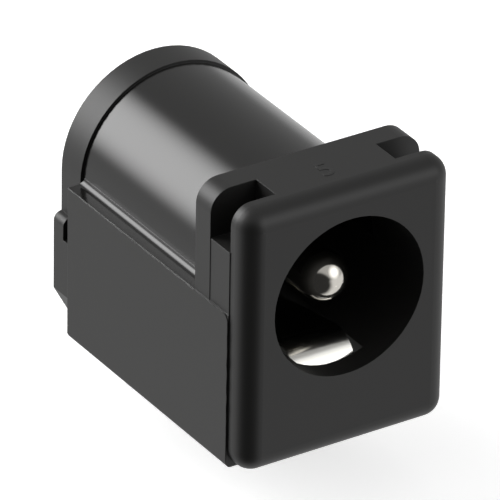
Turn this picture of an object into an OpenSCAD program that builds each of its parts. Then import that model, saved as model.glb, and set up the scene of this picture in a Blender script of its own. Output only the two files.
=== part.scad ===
// DC barrel jack for a printed circuit board, right-angle, through-hole.
// One moulded housing holds a turned centre pin, the terminal that is riveted to
// it, a leaf spring for the plug's sleeve and the contact of the break switch.
// The modules draw with y = 0 on the front face; the finished nodes are shifted
// so that the origin lies on the board, in the middle of the sleeve spring's tail.

/* [Front plate] */
// Width of the front plate
plate_w = 9; // [8.6:0.1:9.1]
// Height of the front plate above the board
plate_h = 11; // [10.6:0.1:11.6]
// Thickness of the front plate
plate_t = 1.1; // [1:0.05:1.4]
// Radius of the front plate's corners
plate_corner_r = 0.8; // [0.8:0.05:1.2]
// Radius of the rounded edge round the front face
front_edge_r = 0.8; // [0.3:0.05:0.8]

/* [Plug socket] */
// Height of the plug's axis above the board
axis_h = 6.5; // [6.4:0.1:6.8]
// Diameter of the bore that the plug enters
bore_d = 6.5; // [6:0.1:6.7]
// Depth of the bore behind the front face
bore_depth = 10.2; // [9.5:0.1:10.8]
// Length of closed bore in front of the spring's window
lip_l = 0.95; // [0.7:0.05:1.1]

/* [Barrel] */
// Outer diameter of the barrel
barrel_d = 7.84; // [7.7:0.02:8]
// Overall length of the moulding
housing_l = 13.65; // [13.4:0.05:14.2]
// Thickness of the back plate
back_t = 1.35; // [1.2:0.05:1.5]
// Diameter of the back plate's round top
back_d = 8.06; // [8.02:0.02:8.3]

/* [Flange and pockets] */
// Gap between the front plate and the flange
flange_gap = 1.3; // [1:0.1:1.5]
// Thickness of the flange
flange_t = 1; // [0.8:0.05:1.2]
// Width of the flange
flange_w = 9.1; // [9:0.02:9.3]
// Radius of the flange's top corners
flange_corner_r = 0.9; // [0.5:0.05:1.1]
// Width of the web that joins the flange to the front plate
web_w = 5.2; // [4.6:0.1:5.8]
// Height of the shelf at the foot of the corner pockets
shelf_h = 9.1; // [8.8:0.05:9.5]
// Width of the neck under the shelf
neck_w = 9.06; // [8.8:0.02:9.08]

/* [Base] */
// Width of the base between its side faces
base_w = 9.1; // [8.9:0.02:9.2]
// Height of the ledges beside the barrel
ledge_h = 6.5; // [6.3:0.05:6.6]
// How far the side faces stand proud of the base
side_pad_t = 0.03; // [0.02:0.01:0.08]
// Radius of the side face's upper front corner
side_pad_r = 0.4; // [0.2:0.05:0.8]
// Radius of the base's lower side edges
base_edge_r = 0.2; // [0.1:0.05:0.4]
// Radius of the fillet between a ledge and the barrel
ledge_fillet_r = 0.26; // [0.1:0.02:0.3]

/* [Back plate lugs] */
// Width across the lugs
lug_w = 8.74; // [8.5:0.02:8.9]
// Height of the lugs' top above the board
lug_h = 4.75; // [4.4:0.05:5]
// Radius of the lugs' upper corners
lug_corner_r = 0.34; // [0.2:0.02:0.4]
// Height of the chamfer under each lug
lug_chamfer_h = 1.5; // [1.2:0.05:1.8]
// Width of the chamfer under each lug
lug_chamfer_w = 0.82; // [0.6:0.02:1]
// Length of the slot in each lug
lug_slot_l = 0.9; // [0.7:0.05:1.1]
// Width of the slot in each lug
lug_slot_w = 0.44; // [0.36:0.02:0.5]
// Depth of the slot in each lug
lug_slot_depth = 0.9; // [0.6:0.1:1.2]

/* [Centre pin] */
// Diameter of the centre pin
pin_d = 2; // [1.9:0.05:2.1]
// Distance of the pin's nose behind the front face
pin_recess = 0.9; // [0.6:0.1:1.4]
// Diameter of the collar that stops against the bore's floor
collar_d = 3; // [2.6:0.1:3.4]
// Thickness of the collar
collar_t = 0.5; // [0.3:0.05:0.8]
// Diameter of the shank that is riveted over
shank_d = 1.3; // [1.1:0.05:1.5]
// Diameter of the riveted head
rivet_d = 2.2; // [2:0.05:2.5]
// Thickness of the riveted head
rivet_t = 0.45; // [0.3:0.05:0.6]

/* [Solder tails] */
// Length of the solder tails below the board's top face
tail_l = 3.2; // [2.8:0.1:3.8]
// Width of the solder tails
tail_w = 2.4; // [2:0.1:2.5]
// Length of the chamfers at the tails' tips
tail_chamfer = 0.5; // [0.3:0.05:0.7]

/* [Pin terminal] */
// Thickness of the pin terminal
terminal_t = 0.4; // [0.3:0.05:0.5]
// Width of the terminal's round head
terminal_head_w = 3.5; // [3.2:0.1:4]
// Depth of the terminal's channel in the back plate
channel_depth = 0.2; // [0.1:0.05:0.3]

/* [Sleeve spring] */
// Distance of the spring's leg behind the front face
spring_y = 7.7; // [7.5:0.05:7.9]
// Thickness of the spring's strip
spring_t = 0.3; // [0.25:0.05:0.3]
// Width of the spring's leaf
leaf_w = 2.6; // [2.2:0.1:2.8]
// Sideways offset of the leaf from the jack's centre
leaf_offset = -0.25; // [-0.3:0.05:0]
// Height of the spring's leg up to its bend
leg_h = 2.4; // [2.2:0.05:2.5]
// Slope of the leaf
leaf_slope = 10; // [8:1:11]
// Length of the leaf's straight run
leaf_l = 4.9; // [4.6:0.05:5]
// Bend radius of the leaf's crown
crown_r = 1.1; // [0.9:0.05:1.2]
// Slope of the leaf's front end
nose_slope = 55; // [45:1:60]
// Length of the leaf's front end
nose_l = 0.25; // [0.15:0.05:0.3]
// Width across the barbs that lock the leg
barb_w = 3.3; // [3:0.05:3.6]

/* [Switch contact] */
// Distance of the switch contact's tail behind the front face
switch_y = 10.7; // [10.5:0.05:10.8]
// Distance of the switch contact's tail from the jack's centre
switch_x = 4.7; // [4.65:0.05:4.9]
// Thickness of the switch contact's strip
switch_t = 0.3; // [0.25:0.05:0.35]
// Height of the switch contact's arm above the board
arm_h = 1.65; // [1.5:0.05:1.8]
// Width of the switch contact's arm
arm_w = 1.3; // [1:0.05:1.5]
// Distance of the arm's inner edge from the jack's centre
arm_x = 1.6; // [1.55:0.05:1.8]
// Distance of the finger behind the front face
finger_y = 5; // [4.8:0.1:5.4]
// Width of the finger that touches the leaf
finger_w = 1.2; // [0.9:0.1:1.4]

/* [Hidden] */
$fn = 64;

black = [0.11, 0.11, 0.105];
nickel = [0.8, 0.79, 0.76];
tinned = [0.74, 0.74, 0.72];

seat_gap = 0.02;     // gap between pieces that seat against each other
side_gap = 0.08;     // free space beside a strip in its slot
joint = 0.002;       // how far a strip's straight run reaches into the bend before it
past = 1;            // how far a cut runs past the face that it opens
bend_r = 0.45;       // bend radius of the strips' legs, on the middle of the strip
finger_bend_r = 0.35;  // bend radius of the switch contact's finger
finger_slope = 65;   // slope of the finger on both sides of its crest

flange_y = plate_t + flange_gap;
flange_end_y = flange_y + flange_t;
back_y = housing_l - back_t;
edge_r = min(front_edge_r, plate_t - 0.1);
side_x = base_w / 2 + side_pad_t;

// back end: the terminal lies in its channel and the rivet head lies on it
terminal_y = housing_l - channel_depth + seat_gap;
rivet_y = terminal_y + terminal_t;

// sleeve spring: where the leaf leaves the leg's bend, and the height of its middle
leaf_turn = 90 - leaf_slope;
leaf_y = spring_y - bend_r * (1 - cos(leaf_turn));
leaf_z = leg_h + bend_r * sin(leaf_turn);
function leaf_height(y) = leaf_z + (leaf_y - y) * tan(leaf_slope);
leaf_x0 = leaf_offset - leaf_w / 2;
window_x0 = leaf_x0 - side_gap;
window_x1 = max(leaf_x0 + leaf_w, tail_w / 2) + side_gap;

// switch contact: its finger rises to just under the leaf
arm_end_x = arm_x + arm_w;
finger_y0 = finger_y - finger_w / 2;
finger_y1 = finger_y + finger_w / 2;
touch_h = leaf_height(finger_y1) - spring_t / 2 / cos(leaf_slope) - seat_gap;
finger_rise = touch_h - switch_t / 2 - arm_h - 2 * finger_bend_r * (1 - cos(finger_slope));
finger_run = finger_rise / sin(finger_slope);

// ---- helpers ----------------------------------------------------------------

module box(low, high) translate(low) cube(high - low);

// a flat outline in x and z, drawn out from y0 back to y1
module along_y(y0, y1) translate([0, y1, 0]) rotate([90, 0, 0]) linear_extrude(y1 - y0) children();

// a flat outline in y and z, drawn out from x0 to x1
module along_x(x0, x1) translate([x0, 0, 0]) rotate([90, 0, 90]) linear_extrude(x1 - x0) children();

// a turned part: its outline in radius and length, its axis along y at the plug's height
module turned() translate([0, 0, axis_h]) rotate([-90, 0, 0]) rotate_extrude() children();

// strip stock bent along a path of [straight run, turn in degrees, bend radius];
// it starts along x, and a positive turn goes towards y
module bent_strip(path, t, w, i = 0) {
    run = path[i][0];
    turn = path[i][1];
    r = path[i][2];
    into = i > 0 ? joint : 0;
    translate([-into, -t / 2, 0]) cube([into + run, t, w]);
    if (i + 1 < len(path)) translate([run, 0, 0]) {
        translate([0, sign(turn) * r, 0])
            rotate([0, 0, turn > 0 ? -90 : 90 + turn])
                rotate_extrude(angle = abs(turn)) translate([r - t / 2, 0]) square([t, w]);
        translate([r * sin(abs(turn)), sign(turn) * r * (1 - cos(turn)), 0])
            rotate([0, 0, turn]) bent_strip(path, t, w, i + 1);
    }
}

// outline of a strip that ends in a chamfered solder tail, from the tip up to z = top
module tail_outline(top) polygon([
    [-tail_w / 2, top],
    [-tail_w / 2, tail_chamfer - tail_l],
    [tail_chamfer - tail_w / 2, -tail_l],
    [tail_w / 2 - tail_chamfer, -tail_l],
    [tail_w / 2, tail_chamfer - tail_l],
    [tail_w / 2, top],
]);

// ---- housing ----------------------------------------------------------------

// half section of the plate's rim: flat at the back, rounded at the front
module rim_section() {
    if (plate_corner_r > edge_r) square([plate_corner_r - edge_r, plate_t]);
    translate([0, edge_r]) square([plate_corner_r, plate_t - edge_r]);
    intersection() {
        translate([plate_corner_r - edge_r, edge_r]) circle(edge_r);
        translate([plate_corner_r - edge_r, 0]) square(edge_r);
    }
}

module front_plate() {
    x = plate_w / 2 - plate_corner_r;
    low = plate_corner_r;
    high = plate_h - plate_corner_r;
    box([-x, 0, low], [x, plate_t, high]);
    translate([x, 0, low]) linear_extrude(high - low) rim_section();
    translate([-x, 0, low]) mirror([1, 0, 0]) linear_extrude(high - low) rim_section();
    for (top = [0, 1]) translate([0, 0, top ? high : low]) mirror([0, 0, top ? 0 : 1])
        translate([x, 0, 0]) rotate([0, -90, 0]) linear_extrude(2 * x) rim_section();
    for (side = [0, 1], top = [0, 1])
        mirror([side, 0, 0]) translate([x, 0, top ? high : low]) mirror([0, 0, top ? 0 : 1])
            rotate([-90, 0, 0]) mirror([0, 1, 0]) rotate_extrude(angle = 90) rim_section();
}

module flange_outline() {
    x = flange_w / 2 - flange_corner_r;
    foot = ledge_h - past;
    translate([-flange_w / 2, foot]) square([flange_w, plate_h - flange_corner_r - foot]);
    translate([-x, foot]) square([2 * x, plate_h - foot]);
    for (side = [-1, 1]) translate([side * x, plate_h - flange_corner_r]) circle(flange_corner_r);
}

// the block behind the front plate, with a pocket over the shelf at each top corner
module neck() {
    box([-neck_w / 2, plate_t, ledge_h - past], [neck_w / 2, flange_y, shelf_h]);
    box([-web_w / 2, plate_t, shelf_h], [web_w / 2, flange_y, plate_h]);
}

module base_outline() {
    x = base_w / 2 - base_edge_r;
    translate([-base_w / 2, base_edge_r]) square([base_w, ledge_h - base_edge_r]);
    translate([-x, 0]) square([2 * x, base_edge_r]);
    for (side = [-1, 1]) translate([side * x, base_edge_r]) circle(base_edge_r);
}

// the raised side face, with a rounded upper front corner
module side_pad_outline() {
    translate([plate_t, base_edge_r]) square([back_y - plate_t, ledge_h - side_pad_r - base_edge_r]);
    translate([plate_t + side_pad_r, ledge_h - side_pad_r])
        square([back_y - plate_t - side_pad_r, side_pad_r]);
    translate([plate_t + side_pad_r, ledge_h - side_pad_r]) circle(side_pad_r);
}

module base() {
    along_y(plate_t, back_y) base_outline();
    along_x(base_w / 2, side_x) side_pad_outline();
    along_x(-side_x, -base_w / 2) side_pad_outline();
}

// hollow fillet where a ledge meets the barrel
module ledge_fillets() {
    reach = barrel_d / 2 + ledge_fillet_r;
    along_y(flange_end_y, back_y) for (side = [-1, 1]) difference() {
        translate([side * (reach - ledge_fillet_r), ledge_h + ledge_fillet_r / 2])
            square([2 * ledge_fillet_r, ledge_fillet_r], center = true);
        translate([side * reach, ledge_h + ledge_fillet_r]) circle(ledge_fillet_r);
    }
}

module back_outline() {
    x = lug_w / 2;
    translate([0, axis_h]) circle(d = back_d);
    translate([-back_d / 2, lug_chamfer_h]) square([back_d, axis_h - lug_chamfer_h]);
    translate([-x, lug_chamfer_h]) square([2 * x, lug_h - lug_corner_r - lug_chamfer_h]);
    for (side = [-1, 1]) translate([side * (x - lug_corner_r), lug_h - lug_corner_r]) circle(lug_corner_r);
    polygon([[-x, lug_chamfer_h], [lug_chamfer_w - x, 0], [x - lug_chamfer_w, 0], [x, lug_chamfer_h]]);
}

module lug_slots() for (side = [-1, 1])
    translate([side * (lug_w / 2 + past - lug_slot_depth) - past, back_y + lug_slot_w / 2, lug_h - lug_slot_l])
        cube([2 * past, lug_slot_w, lug_slot_l]);

module barrel() translate([0, flange_y, axis_h]) rotate([-90, 0, 0]) cylinder(d = barrel_d, h = back_y - flange_y);

module bore() translate([0, -past, axis_h]) rotate([-90, 0, 0]) cylinder(d = bore_d, h = bore_depth + past);

// window under the bore that the spring is put in through, with grooves for its barbs
module spring_window() {
    box([window_x0, lip_l, -past], [window_x1, spring_y + spring_t / 2 + side_gap, axis_h]);
    box([-barb_w / 2 - seat_gap, spring_y - spring_t / 2 - seat_gap, -past],
        [barb_w / 2 + seat_gap, spring_y + spring_t / 2 + seat_gap, leg_h / 2]);
}

// cavity in the underside for the switch contact, open through the side wall
module switch_cavity() {
    top = arm_h + switch_t / 2 + seat_gap;
    back = switch_y + tail_w / 2 + side_gap;
    box([arm_x - side_gap, finger_y0 - side_gap, -past], [arm_end_x + side_gap, back, top]);
    box([arm_x, switch_y - tail_w / 2 - side_gap, -past], [side_x + past, back, top]);
    box([0, finger_y0 - side_gap, -past], [arm_x, finger_y1 + side_gap, top + finger_bend_r]);
}

module shank_hole() translate([0, 0, axis_h]) rotate([-90, 0, 0]) cylinder(d = shank_d + 2 * seat_gap, h = housing_l + past);

// channel in the back plate that the pin's terminal lies in
module terminal_channel() along_y(housing_l - channel_depth, housing_l + past) {
    translate([0, axis_h]) circle(d = terminal_head_w + 2 * side_gap);
    translate([-tail_w / 2 - side_gap, -past]) square([tail_w + 2 * side_gap, axis_h + past]);
}

module housing() color(black) difference() {
    union() {
        front_plate();
        neck();
        along_y(flange_y, flange_end_y) flange_outline();
        barrel();
        base();
        ledge_fillets();
        along_y(back_y, housing_l) back_outline();
    }
    bore();
    spring_window();
    switch_cavity();
    shank_hole();
    terminal_channel();
    lug_slots();
}

// ---- metal parts ------------------------------------------------------------

module centre_pin() color(nickel) turned() {
    r = pin_d / 2;
    nose_y = pin_recess + r;
    head_edge = rivet_t / 2;
    intersection() {
        translate([0, nose_y]) circle(r);
        translate([0, pin_recess]) square(r);
    }
    translate([0, nose_y]) square([r, bore_depth - seat_gap - nose_y]);
    translate([0, bore_depth - collar_t]) square([collar_d / 2, collar_t - seat_gap]);
    translate([0, bore_depth - collar_t]) square([shank_d / 2, rivet_y + rivet_t - bore_depth + collar_t]);
    translate([0, rivet_y + seat_gap]) square([rivet_d / 2 - head_edge, rivet_t - seat_gap]);
    translate([0, rivet_y + seat_gap]) square([rivet_d / 2, head_edge - seat_gap]);
    intersection() {
        translate([rivet_d / 2 - head_edge, rivet_y + head_edge]) circle(head_edge);
        translate([rivet_d / 2 - head_edge, rivet_y + head_edge]) square(head_edge);
    }
}

module pin_terminal() color(tinned) difference() {
    along_y(terminal_y, rivet_y) {
        translate([0, axis_h]) circle(d = terminal_head_w);
        tail_outline(axis_h);
    }
    translate([0, terminal_y - past, axis_h]) rotate([-90, 0, 0])
        cylinder(d = shank_d + 2 * seat_gap, h = terminal_t + 2 * past);
}

module sleeve_spring() color(nickel) {
    half = spring_t / 2;
    along_y(spring_y - half, spring_y + half) tail_outline(leg_h / 2);
    box([-barb_w / 2, spring_y - half, leg_h / 4], [barb_w / 2, spring_y + half, leg_h / 2 - seat_gap]);
    translate([leaf_x0, spring_y, leg_h / 2]) rotate([0, -90, 180]) bent_strip([
        [leg_h / 2, leaf_turn, bend_r],
        [leaf_l, leaf_slope + nose_slope, crown_r],
        [nose_l, 0, 0],
    ], spring_t, leaf_w);
}

module switch_contact() color(tinned) {
    half = switch_t / 2;
    y1 = switch_y + tail_w / 2;
    low = arm_h - half;
    high = arm_h + half;
    translate([switch_x, switch_y, 0]) rotate([0, 0, 90]) along_y(-half, half) tail_outline(0);
    translate([switch_x, y1, 0]) rotate([0, -90, 90]) bent_strip([
        [arm_h - bend_r, 90, bend_r],
        [switch_x - bend_r - arm_end_x, 0, 0],
    ], switch_t, tail_w);
    box([arm_x, finger_y0, low], [arm_end_x, y1, high]);
    translate([arm_x, finger_y0, arm_h]) rotate([90, 0, 180]) bent_strip([
        [0.1, finger_slope, finger_bend_r],
        [finger_run, -finger_slope, finger_bend_r],
        [0.3, 0, 0],
    ], switch_t, finger_w);
}

// moves the origin from the front face to the sleeve spring's tail
module on_datum() translate([0, -spring_y, 0]) children();

on_datum() housing();
on_datum() centre_pin();
on_datum() pin_terminal();
on_datum() sleeve_spring();
on_datum() switch_contact();
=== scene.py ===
# %% [markdown]
# This lesson dresses a DC barrel jack for a circuit board as a studio product shot.
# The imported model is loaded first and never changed: the script gives it materials,
# adds the small marks that a moulding tool leaves behind, and sets up camera and light.
# All sizes are in metres, in the part's own frame: +Z is up from the board, and the
# front face with the socket looks along -Y.

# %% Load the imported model
import math

import bmesh
import bpy
from mathutils import Matrix, Vector, noise


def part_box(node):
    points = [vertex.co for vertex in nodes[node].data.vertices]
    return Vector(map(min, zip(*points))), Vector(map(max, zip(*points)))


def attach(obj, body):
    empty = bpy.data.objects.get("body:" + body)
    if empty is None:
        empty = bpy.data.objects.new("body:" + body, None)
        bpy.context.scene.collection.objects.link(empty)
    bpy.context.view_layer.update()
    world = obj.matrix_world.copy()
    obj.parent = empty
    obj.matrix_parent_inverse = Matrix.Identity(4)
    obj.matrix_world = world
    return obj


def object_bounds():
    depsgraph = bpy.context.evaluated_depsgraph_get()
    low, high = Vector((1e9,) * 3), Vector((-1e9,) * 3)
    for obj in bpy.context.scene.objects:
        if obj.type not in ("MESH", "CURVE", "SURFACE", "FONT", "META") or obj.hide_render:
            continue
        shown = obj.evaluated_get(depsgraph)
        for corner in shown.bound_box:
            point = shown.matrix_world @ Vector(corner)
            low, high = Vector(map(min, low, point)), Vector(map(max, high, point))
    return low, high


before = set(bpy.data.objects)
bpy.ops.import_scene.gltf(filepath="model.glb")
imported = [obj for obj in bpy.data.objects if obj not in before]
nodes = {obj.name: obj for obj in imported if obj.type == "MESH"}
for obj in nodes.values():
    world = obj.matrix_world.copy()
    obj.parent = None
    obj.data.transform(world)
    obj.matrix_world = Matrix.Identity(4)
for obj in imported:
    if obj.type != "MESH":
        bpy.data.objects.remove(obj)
cad_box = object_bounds()
MM = 0.001
housing_low, housing_high = (Vector(corner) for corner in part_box("housing"))
print("nodes:", ", ".join(sorted(nodes)))
print("housing is", ", ".join(f"{size / MM:.2f}" for size in housing_high - housing_low), "mm")

# %% [markdown]
# The finishes follow the moulding's own steps: the polished barrel lies between the
# flange and the back plate, above the ledges. These places are measured from the
# housing's box, so they stay right if the box moves.

# %% Places on the housing
PLATE_THICKNESS = 1.1 * MM
FLANGE_START, FLANGE_STOP = 2.4 * MM, 3.4 * MM
BACK_PLATE_THICKNESS = 1.35 * MM
LEDGE_HEIGHT = 6.5 * MM
FRONT_FACE = housing_low.y
PLATE_BACK = FRONT_FACE + PLATE_THICKNESS
FLANGE_FRONT = FRONT_FACE + FLANGE_START
FLANGE_BACK = FRONT_FACE + FLANGE_STOP
BARREL_END = housing_high.y - BACK_PLATE_THICKNESS
print("barrel runs from", round(FLANGE_BACK / MM, 2), "to", round(BARREL_END / MM, 2), "mm")

# %% [markdown]
# The camera stands to the left of the jack and above it, far away with a very long lens,
# so that parallel edges stay nearly parallel, as small parts are usually shot. It is
# placed from two angles and a distance, and its axes are built as a matrix, because that
# leaves no doubt about which way is up.

# %% Camera
VIEW_TURN = math.radians(-32.93)
VIEW_RISE = math.radians(29.47)
VIEW_ROLL = math.radians(0.97)
VIEW_DISTANCE = 303.2 * MM
VIEW_LENS = 584.9
VIEW_TARGET = Vector((0.16, -0.70, 5.01)) * MM

def camera_axes(turn, rise, roll):
    """Right, up and backward unit vectors of a camera that looks at the part."""
    back = Vector((math.sin(turn) * math.cos(rise), -math.cos(turn) * math.cos(rise), math.sin(rise)))
    right = Vector((math.cos(turn), math.sin(turn), 0))
    rolled_right = math.cos(roll) * right + math.sin(roll) * back.cross(right)
    return rolled_right, back.cross(rolled_right), back

right, up, back = camera_axes(VIEW_TURN, VIEW_RISE, VIEW_ROLL)
camera_data = bpy.data.cameras.new("studio_camera")
camera_data.sensor_width = 36
camera_data.lens = VIEW_LENS
camera_data.clip_start = 0.01
camera_data.clip_end = 10
camera = bpy.data.objects.new("studio_camera", camera_data)
bpy.context.scene.collection.objects.link(camera)
camera.matrix_world = Matrix.Translation(VIEW_TARGET + back * VIEW_DISTANCE) @ Matrix((
    (right.x, up.x, back.x), (right.y, up.y, back.y), (right.z, up.z, back.z))).to_4x4()
bpy.context.scene.camera = camera
print("camera", round(VIEW_DISTANCE / MM), "mm away")

# %% [markdown]
# Node trees are easier to read when the arithmetic has short names. A value may be a
# plain number or the output of another node.

# %% Small helpers for node trees

def feed(tree, socket, value):
    """Connects a socket to another one, or sets its number."""
    if isinstance(value, bpy.types.NodeSocket):
        tree.links.new(value, socket)
    else:
        socket.default_value = value

def calculate(tree, operation, a, b=0.0):
    node = tree.nodes.new("ShaderNodeMath")
    node.operation = operation
    feed(tree, node.inputs[0], a)
    feed(tree, node.inputs[1], b)
    return node.outputs[0]

def between(tree, value, low, high):
    """1 where the value lies between two limits, and 0 elsewhere."""
    return calculate(tree, "MULTIPLY", calculate(tree, "GREATER_THAN", value, low),
                     calculate(tree, "LESS_THAN", value, high))

print("helpers ready")

# %% [markdown]
# Black plastic shows little but its surroundings, so the light tent is the real paint
# here. One bright patch stands behind the jack on the left and gives the polished barrel
# its broad highlight, the rest is dim and even, and the tent is open, and so dark,
# around the camera. The patches are soft-edged spots on a world shader, which is
# smoother and less grainy than several lamps.

# %% Light tent
TENT_BRIGHTNESS = 0.45
FLOOR_BRIGHTNESS = 0.32
DARKEST = 0.03

def direction(azimuth, elevation):
    """Unit vector towards the tent; azimuth 0 is in front of the jack, 90 to its right."""
    a, e = math.radians(azimuth), math.radians(elevation)
    return Vector((math.sin(a) * math.cos(e), -math.cos(a) * math.cos(e), math.sin(e)))

def tent_patch(tree, way, centre, edge_angle, core_angle, change):
    """How much a soft round patch of the tent adds to, or takes from, its brightness."""
    facing = tree.nodes.new("ShaderNodeVectorMath")
    facing.operation = "DOT_PRODUCT"
    facing.inputs[1].default_value = centre
    tree.links.new(way, facing.inputs[0])
    patch = tree.nodes.new("ShaderNodeMapRange")
    patch.interpolation_type = "SMOOTHSTEP"
    patch.inputs["From Min"].default_value = math.cos(math.radians(edge_angle))
    patch.inputs["From Max"].default_value = math.cos(math.radians(core_angle))
    patch.inputs["To Min"].default_value = 0
    patch.inputs["To Max"].default_value = change
    tree.links.new(facing.outputs["Value"], patch.inputs["Value"])
    return patch.outputs["Result"]

KEY_WAY = direction(-143.7, 24.8)
FILL_WAY = direction(31, 24)
# Each patch has a direction, the angles of its edge and core in degrees, and its change.
TENT_PATCHES = {
    "key box": (KEY_WAY, 29, 2, 6.8),
    "fill box": (FILL_WAY, 30, 8, 1.1),
    "floor": (direction(0, -90), 96, 84, FLOOR_BRIGHTNESS),
    "opening for the camera": (direction(-45, -18), 62, 28, -1.0),
}
air = bpy.data.worlds.new("light_tent")
air.use_nodes = True
tent = air.node_tree
way = tent.nodes.new("ShaderNodeTexCoord").outputs["Generated"]
brightness = TENT_BRIGHTNESS
for centre, edge_angle, core_angle, change in TENT_PATCHES.values():
    patch = tent_patch(tent, way, centre, edge_angle, core_angle, change)
    brightness = calculate(tent, "ADD", patch, brightness)
brightness = calculate(tent, "MAXIMUM", brightness, DARKEST)
seen = tent.nodes.new("ShaderNodeLightPath").outputs["Is Camera Ray"]
unseen = calculate(tent, "SUBTRACT", 1.0, seen)
tent.nodes["Background"].inputs["Color"].default_value = (1, 1, 1, 1)
feed(tent, tent.nodes["Background"].inputs["Strength"],
     calculate(tent, "ADD", calculate(tent, "MULTIPLY", brightness, unseen), seen))
bpy.context.scene.world = air
bpy.context.scene.view_settings.view_transform = "Standard"
print("tent patches:", ", ".join(TENT_PATCHES))

# %% [markdown]
# The jack stands on plain white paper. The paper is only there to be looked at: the
# tent's lower half stands in for it in reflections, so it casts and mirrors nothing.

# %% Floor and a small soft box
PAPER_WHITE = 0.85
PAPER_ROUGHNESS = 0.9
PAPER_GLOW = 0.6
FILL_BOX_DISTANCE = 300 * MM
FILL_BOX_WIDTH = 120 * MM
FILL_BOX_POWER = 0.03
floor_level = cad_box[0][2]

def stage_floor(half_width=0.6):
    bm = bmesh.new()
    bmesh.ops.create_grid(bm, x_segments=1, y_segments=1, size=half_width)
    bmesh.ops.translate(bm, verts=bm.verts, vec=(0, 0, floor_level))
    mesh = bpy.data.meshes.new("studio_floor")
    bm.to_mesh(mesh)
    bm.free()
    floor = bpy.data.objects.new("studio_floor", mesh)
    bpy.context.scene.collection.objects.link(floor)
    paper = bpy.data.materials.new("floor_paper")
    paper.use_nodes = True
    shader = paper.node_tree.nodes["Principled BSDF"]
    shader.inputs["Base Color"].default_value = (PAPER_WHITE, PAPER_WHITE, PAPER_WHITE, 1)
    shader.inputs["Roughness"].default_value = PAPER_ROUGHNESS
    shader.inputs["Emission Color"].default_value = (1, 1, 1, 1)
    shader.inputs["Emission Strength"].default_value = PAPER_GLOW
    mesh.materials.append(paper)
    floor.visible_diffuse = False
    floor.visible_glossy = False
    floor.visible_shadow = False

def soft_box(name, way, distance, width, power):
    """A square area lamp in a given direction, turned towards the part."""
    lamp = bpy.data.lights.new(name, "AREA")
    lamp.size = width
    lamp.energy = power
    box = bpy.data.objects.new(name, lamp)
    box.location = VIEW_TARGET + way * distance
    box.rotation_euler = (-way).to_track_quat("-Z", "Y").to_euler()
    bpy.context.scene.collection.objects.link(box)

stage_floor()
soft_box("fill_box", FILL_WAY, FILL_BOX_DISTANCE, FILL_BOX_WIDTH, FILL_BOX_POWER)
print("floor at", round(floor_level / MM, 2), "mm")

# %% [markdown]
# The housing is one black moulding with two finishes: most faces copy the tool's fine
# matte texture, and the barrel and its ledges are polished. One material does both with
# a mask on the part's own coordinates. A bevel node rounds the sharp edges by a few
# hundredths of a millimetre for the light only, as every moulding's edges are.

# %% Black plastic
MATTE_ROUGHNESS = 0.45
POLISHED_ROUGHNESS = 0.17
PLASTIC_BLACK = (0.015, 0.0148, 0.0142)
EDGE_ROUNDING = 0.035 * MM
GRAIN_SIZE, GRAIN_DEPTH = 0.06 * MM, 0.003 * MM
SINK_SIZE, SINK_DEPTH = 0.9 * MM, 0.004 * MM

def new_material(name, colour, roughness, metallic=0.0):
    material = bpy.data.materials.new(name)
    material.use_nodes = True
    shader = material.node_tree.nodes["Principled BSDF"]
    shader.inputs["Base Color"].default_value = (*colour, 1)
    shader.inputs["Roughness"].default_value = roughness
    shader.inputs["Metallic"].default_value = metallic
    return material, material.node_tree, shader

def grain(tree, place, size, detail=2.0):
    """Soft random spots of about the given size."""
    spots = tree.nodes.new("ShaderNodeTexNoise")
    spots.inputs["Scale"].default_value = 1 / size
    spots.inputs["Detail"].default_value = detail
    tree.links.new(place, spots.inputs["Vector"])
    return spots.outputs[0]

def uneven(tree, height, strength, depth, under=None):
    """A bump node's normal, laid over another normal if there is one."""
    bump = tree.nodes.new("ShaderNodeBump")
    bump.inputs["Distance"].default_value = depth
    feed(tree, bump.inputs["Strength"], strength)
    tree.links.new(height, bump.inputs["Height"])
    if under is not None:
        tree.links.new(under, bump.inputs["Normal"])
    return bump.outputs["Normal"]

def rounded_edges(tree, radius):
    bevel = tree.nodes.new("ShaderNodeBevel")
    bevel.samples = 4
    bevel.inputs["Radius"].default_value = radius
    return bevel.outputs["Normal"]

def moulded_plastic():
    material, tree, shader = new_material("black_plastic", PLASTIC_BLACK, MATTE_ROUGHNESS)
    place = tree.nodes.new("ShaderNodeTexCoord").outputs["Object"]
    axes = tree.nodes.new("ShaderNodeSeparateXYZ")
    tree.links.new(place, axes.inputs[0])
    above = calculate(tree, "GREATER_THAN", axes.outputs["Z"], LEDGE_HEIGHT - 0.03 * MM)
    polished = calculate(tree, "MULTIPLY", above,
                         between(tree, axes.outputs["Y"], FLANGE_BACK + 0.01 * MM, BARREL_END - 0.01 * MM))
    change = calculate(tree, "MULTIPLY", polished, POLISHED_ROUGHNESS - MATTE_ROUGHNESS)
    feed(tree, shader.inputs["Roughness"], calculate(tree, "ADD", change, MATTE_ROUGHNESS))
    matte = calculate(tree, "SUBTRACT", 1.0, polished)
    fine = uneven(tree, grain(tree, place, GRAIN_SIZE), calculate(tree, "MULTIPLY", matte, 0.5),
                  GRAIN_DEPTH, rounded_edges(tree, EDGE_ROUNDING))
    wavy = uneven(tree, grain(tree, place, SINK_SIZE), 0.25, SINK_DEPTH, fine)
    tree.links.new(wavy, shader.inputs["Normal"])
    return material

black_plastic = moulded_plastic()
print("plastic roughness", MATTE_ROUGHNESS, "and", POLISHED_ROUGHNESS)

# %% [markdown]
# The turned pin is bright nickel, a little warm, and the stamped contacts are duller.
# Plated metal is never a perfect mirror, so each has faint, shallow unevenness.

# %% Plated metals
METAL_EDGE_ROUNDING = 0.02 * MM
PLATING_DEPTH = 0.004 * MM

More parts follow.
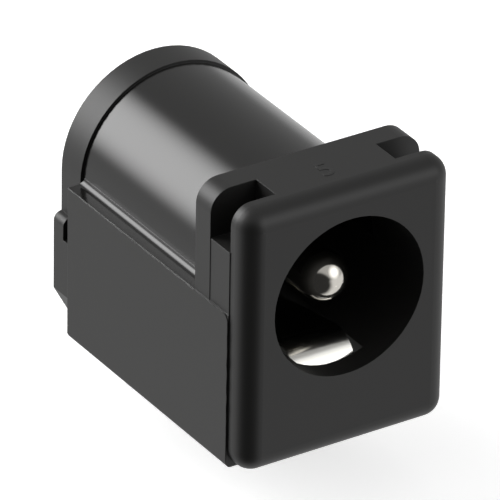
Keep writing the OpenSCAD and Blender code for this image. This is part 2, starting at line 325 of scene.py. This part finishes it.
def plated_metal(name, colour, roughness, wave):
    material, tree, shader = new_material(name, colour, roughness, metallic=1.0)
    place = tree.nodes.new("ShaderNodeTexCoord").outputs["Object"]
    edges = rounded_edges(tree, METAL_EDGE_ROUNDING)
    tree.links.new(uneven(tree, grain(tree, place, wave), 0.3, PLATING_DEPTH, edges), shader.inputs["Normal"])
    return material

pin_plating = plated_metal("pin_plating", (0.76, 0.73, 0.67), 0.12, 0.5 * MM)
contact_plating = plated_metal("contact_plating", (0.76, 0.75, 0.71), 0.18, 0.4 * MM)

def dress(node, material):
    """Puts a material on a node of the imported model, whose mesh stays as it is."""
    piece = nodes[node]
    if not piece.material_slots:
        piece.data.materials.append(material)
    for place in piece.material_slots:
        place.material = material

dress("housing", black_plastic)
dress("centre_pin", pin_plating)
for node in ("pin_terminal", "sleeve_spring", "switch_contact"):
    dress(node, contact_plating)
print("dressed", len(nodes), "nodes")

# %% [markdown]
# Where the two halves of the mould meet, a little plastic squeezes out as a ragged fin a
# few hundredths of a millimetre wide. It runs along the top edge of each side wall and
# down the wall's front edge. A grid one square wide becomes the fin: its outer row is
# moved by noise, and solidify gives it a thickness.

# %% Flash along the parting line
FIN_STEP = 0.07 * MM
FIN_THICKNESS = 0.02 * MM
FIN_ROOT = 0.03 * MM

def add_piece(name, bm, material):
    """Makes an object of a finished bmesh and lets it ride on the part."""
    bmesh.ops.recalc_face_normals(bm, faces=bm.faces)
    mesh = bpy.data.meshes.new(name)
    bm.to_mesh(mesh)
    bm.free()
    mesh.materials.append(material)
    piece = bpy.data.objects.new(name, mesh)
    bpy.context.scene.collection.objects.link(piece)
    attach(piece, "root")
    print(name, "has", len(mesh.polygons), "faces")
    return piece

def flash_fin(name, start, end, outwards, width, seed):
    bm = bmesh.new()
    steps = int((end - start).length / FIN_STEP)
    bmesh.ops.create_grid(bm, x_segments=steps, y_segments=1, size=0.5)
    for vert in bm.verts:
        along = vert.co.x + 0.5
        ragged = 0.6 + noise.noise(Vector((along * steps / 7, seed, 0))) + 0.4 * noise.noise(
            Vector((along * steps / 2, seed, 5)))
        reach = width * max(0.15, ragged) if vert.co.y > 0 else -FIN_ROOT
        vert.co = start + (end - start) * along + outwards * reach
    bmesh.ops.solidify(bm, geom=bm.faces[:], thickness=FIN_THICKNESS)
    return add_piece(name, bm, black_plastic)

WALL_CORNER = 0.3 * MM
for side, word in ((-1, "left"), (1, "right")):
    x = side * (housing_high.x - 0.005 * MM)
    top = LEDGE_HEIGHT - 0.02 * MM
    flash_fin(f"{word}_wall_flash", Vector((x, PLATE_BACK + WALL_CORNER, top)), Vector((x, BARREL_END, top)),
              Vector((side, 0, 0)), 0.045 * MM, seed=3 + side)
    flash_fin(f"{word}_edge_flash", Vector((x, PLATE_BACK + 0.02 * MM, 0.3 * MM)),
              Vector((x, PLATE_BACK + 0.02 * MM, top - WALL_CORNER)), Vector((side, -0.6, 0)).normalized(),
              0.03 * MM, seed=8 + side)

# %% [markdown]
# Each cavity of the mould has its own number, so that a bad one can be found again. It
# is raised by a hair on the bridge between the front plate and the flange. Text is made
# a mesh before it is put in place.

# %% Cavity number
NUMBER_HEIGHT = 0.95 * MM
NUMBER_RISE = 0.03 * MM
FIGURE_SHARE = 0.7  # height of a figure in the built-in font, as a share of the font's size

def cavity_number(figure, centre):
    curve = bpy.data.curves.new("cavity_number", "FONT")
    curve.body = figure
    curve.size = NUMBER_HEIGHT / FIGURE_SHARE
    curve.align_x = "CENTER"
    curve.align_y = "CENTER"
    curve.extrude = NUMBER_RISE / 2
    drawn = bpy.data.objects.new("cavity_number_text", curve)
    bpy.context.scene.collection.objects.link(drawn)
    graph = bpy.context.evaluated_depsgraph_get()
    bm = bmesh.new()
    bm.from_mesh(bpy.data.meshes.new_from_object(drawn.evaluated_get(graph)))
    bpy.data.objects.remove(drawn)
    bmesh.ops.remove_doubles(bm, verts=bm.verts, dist=0.0005 * MM)
    bmesh.ops.translate(bm, verts=bm.verts, vec=centre)
    return add_piece("cavity_number", bm, black_plastic)

bridge_middle = (PLATE_BACK + FLANGE_FRONT) / 2
cavity_number("5", Vector((-0.06 * MM, bridge_middle - 0.05 * MM, housing_high.z - 0.1 * NUMBER_RISE)))
